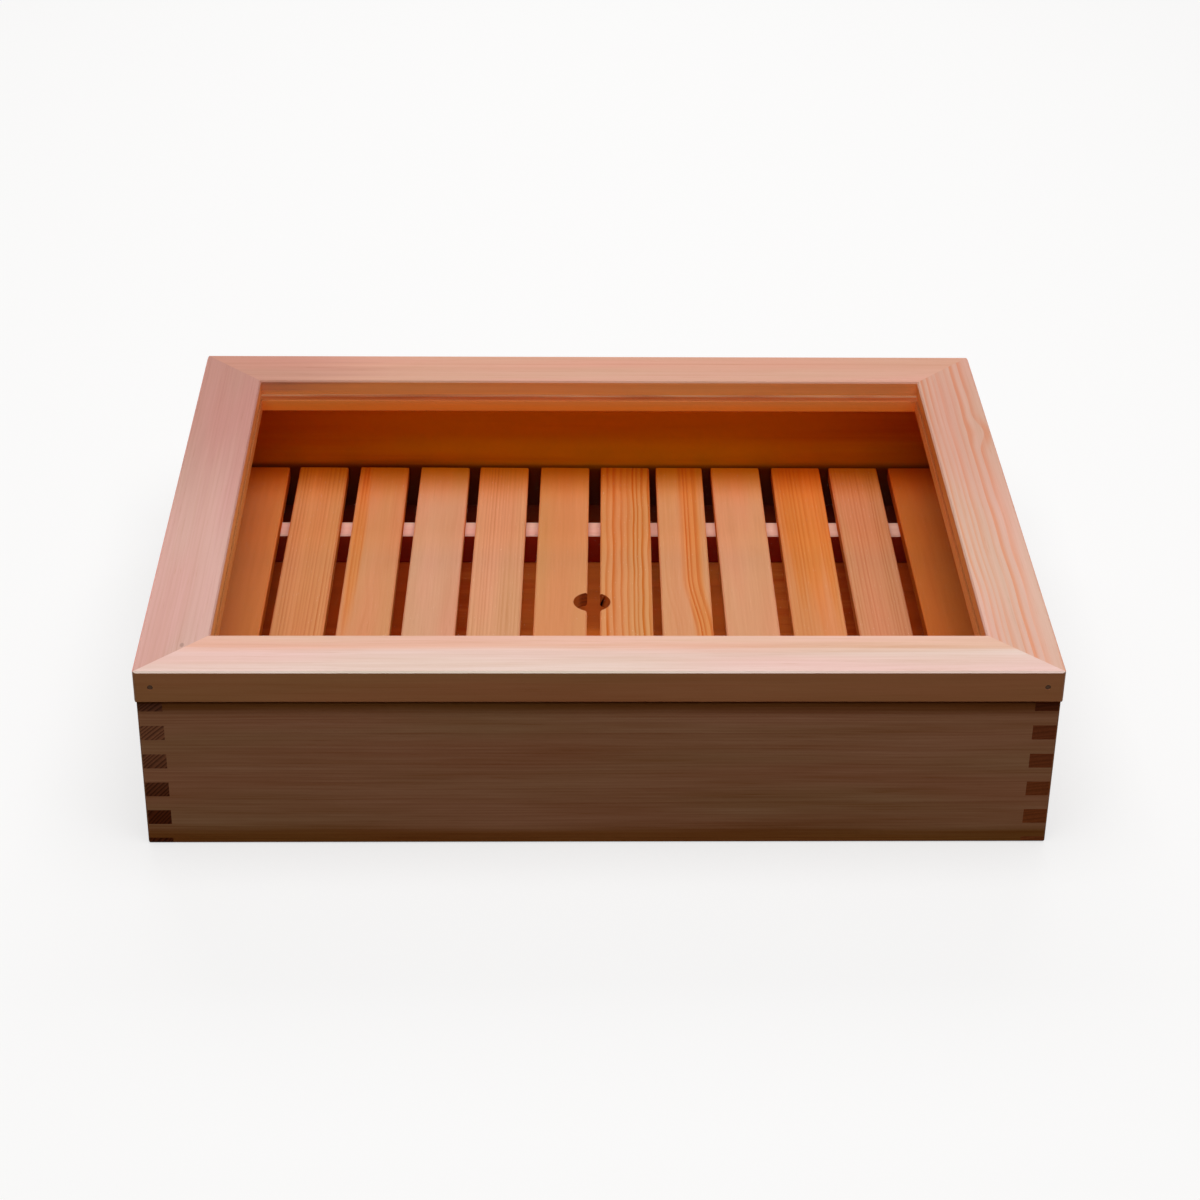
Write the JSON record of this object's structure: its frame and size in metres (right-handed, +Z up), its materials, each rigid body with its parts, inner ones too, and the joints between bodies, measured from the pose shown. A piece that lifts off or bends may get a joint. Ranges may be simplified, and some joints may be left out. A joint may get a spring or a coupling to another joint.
{
  "type": "sushi topping box",
  "caption": "Shallow wooden box with finger-jointed corners, a lift-out slatted tray and a mitred lift-off lid with a clear pane, for keeping and showing toppings.",
  "frame": {"origin": "middle of the underside, at the height of the surface that the box stands on", "axes": "+X to the right along the long walls, +Y to the back, +Z up through the lid"},
  "size_m": [0.33, 0.257, 0.0744],
  "materials": {
    "wall_wood": "planed and sanded bare softwood",
    "base_wood": "planed bare softwood",
    "batten_wood": "planed bare softwood, paler",
    "slat_wood": "planed bare softwood with bold growth lines",
    "rail_wood": "planed and sanded bare softwood, paler",
    "clear_pane": "clear polished sheet",
    "brad_steel": "dull darkened wire",
    "nail_steel": "plain stainless wire"
  },
  "bodies": {
    "root": {"front_wall": "wall_wood", "back_wall": "wall_wood", "left_wall": "wall_wood", "right_wall": "wall_wood", "base_panel": "base_wood", "front_batten": "batten_wood", "rear_batten": "batten_wood", "slat_1": "slat_wood", "slat_2": "slat_wood", "slat_3": "slat_wood", "slat_4": "slat_wood", "slat_5": "slat_wood", "slat_6": "slat_wood", "slat_7": "slat_wood", "slat_8": "slat_wood", "slat_9": "slat_wood", "slat_10": "slat_wood", "slat_11": "slat_wood", "slat_12": "slat_wood", "tray_nails": "nail_steel", "lid_front_rail": "rail_wood", "lid_back_rail": "rail_wood", "lid_left_rail": "rail_wood", "lid_right_rail": "rail_wood", "lid_pane": "clear_pane", "lid_brads": "brad_steel"}
  },
  "joints": []
}
